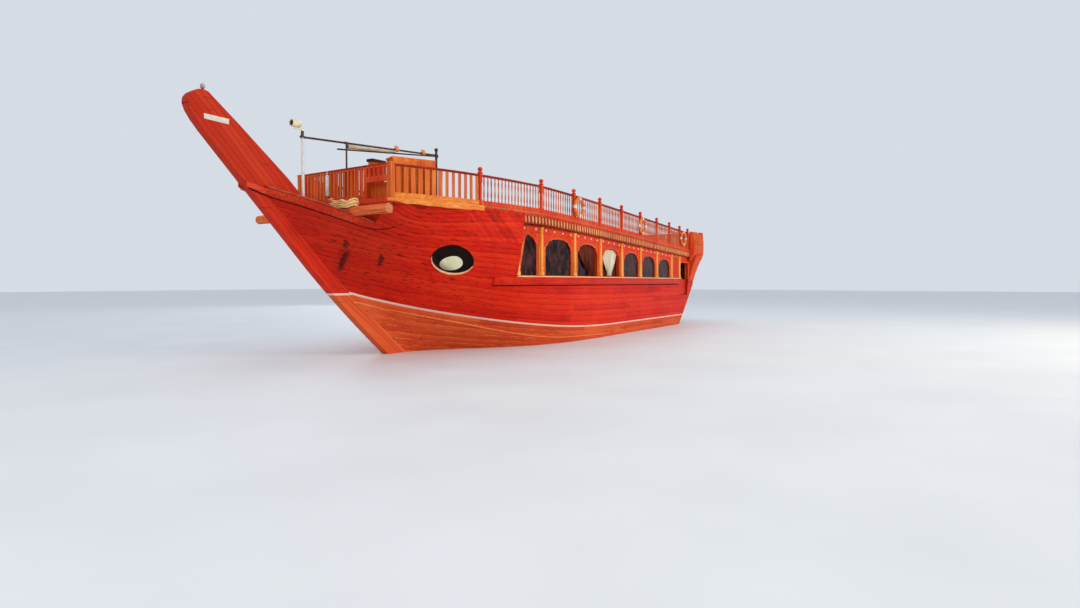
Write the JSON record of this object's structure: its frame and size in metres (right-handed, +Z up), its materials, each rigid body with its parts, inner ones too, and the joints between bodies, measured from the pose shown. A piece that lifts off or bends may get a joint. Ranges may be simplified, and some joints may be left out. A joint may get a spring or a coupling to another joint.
{
  "type": "wooden dhow",
  "caption": "Decked wooden dhow with a tall raked plank stem, arcaded saloon windows, a railed upper deck, quarter galleries, a rudder and a propeller.",
  "frame": {"origin": "on the centreline at the waterline, near the middle of the hull's length", "axes": "+X forward to the stem, +Y to port, +Z up; z = 0 is the water's surface"},
  "size_m": [25.305, 6.135, 8.202],
  "materials": {
    "bottom_paint": "faded orange-red paint on wood",
    "red_planking": "glossy red varnish over planks",
    "carved_trim": "orange-red varnish, carved",
    "sill_wood": "light varnished wood",
    "deck_planks": "bare oiled planks",
    "log_wood": "rough timber",
    "pole_metal": "white paint",
    "awning_cloth": "furled canvas",
    "lamp_case": "pale yellow paint",
    "ring_skin": "orange with white bands",
    "rope_fibre": "straw-coloured fibre rope",
    "shaft_steel": "plain steel",
    "bronze": "bronze"
  },
  "bodies": {
    "hull": {"awning_frame": "pole_metal", "awning_roll": "awning_cloth", "bow_side_port": "red_planking", "bow_side_starboard": "red_planking", "bulwark_cap_port": "carved_trim", "bulwark_cap_starboard": "carved_trim", "bulwark_port": "red_planking", "bulwark_starboard": "red_planking", "cathead_beam": "log_wood", "deck_rail_aft_port": "carved_trim", "deck_rail_aft_starboard": "carved_trim", "deck_rail_fore_port": "carved_trim", "deck_rail_fore_starboard": "carved_trim", "forepeak": "red_planking", "front_rail": "carved_trim", "helm_cabinet": "carved_trim", "hull_lower": "bottom_paint", "keel": "bottom_paint", "life_ring_aft_port": "ring_skin", "life_ring_aft_starboard": "ring_skin", "life_ring_fore_port": "ring_skin", "life_ring_fore_starboard": "ring_skin", "life_ring_mid_port": "ring_skin", "life_ring_mid_starboard": "ring_skin", "porthole_rim_port": "sill_wood", "porthole_rim_starboard": "sill_wood", "quarter_gallery_port": "carved_trim", "quarter_gallery_starboard": "carved_trim", "rope_heap": "rope_fibre", "searchlight": "lamp_case", "sill_ledge_port": "sill_wood", "sill_ledge_starboard": "sill_wood", "stem": "red_planking", "stern_gallery": "carved_trim", "stern_tube": "shaft_steel", "topside_aft_port": "red_planking", "topside_aft_starboard": "red_planking", "topside_fore_port": "red_planking", "topside_fore_starboard": "red_planking", "transom": "red_planking", "upper_deck_aft": "deck_planks", "upper_deck_fore": "deck_planks", "valance_aft_port": "carved_trim", "valance_aft_starboard": "carved_trim", "valance_fore_port": "carved_trim", "valance_fore_starboard": "carved_trim", "wale_port": "red_planking", "wale_starboard": "red_planking", "window_wall_aft_port": "carved_trim", "window_wall_aft_starboard": "carved_trim", "window_wall_fore_port": "carved_trim", "window_wall_fore_starboard": "carved_trim", "window_wall_mid_port": "carved_trim", "window_wall_mid_starboard": "carved_trim"},
    "rudder": {"rudder": "bottom_paint"},
    "propeller": {"propeller": "bronze"},
    "gate_port": {"boarding_gate_port": "red_planking"},
    "gate_starboard": {"boarding_gate_starboard": "red_planking"}
  },
  "joints": [
    {"name": "rudder_turn", "type": "hinge", "parent": "hull", "child": "rudder", "pos_m": [-8.95, 0, -0.7], "axis": [0, 0, 1], "range_deg": [-35, 35]},
    {"name": "propeller_spin", "type": "hinge", "parent": "hull", "child": "propeller", "pos_m": [-8.26, 0, -0.9], "axis": [1, 0, 0], "continuous": true},
    {"name": "gate_port_swing", "type": "hinge", "parent": "hull", "child": "gate_port", "pos_m": [-9.64, 1.9752, 1.85], "axis": [0, 0, 1], "range_deg": [-90, 0]},
    {"name": "gate_starboard_swing", "type": "hinge", "parent": "hull", "child": "gate_starboard", "pos_m": [-9.64, -1.9752, 1.85], "axis": [0, 0, 1], "range_deg": [0, 90]}
  ]
}
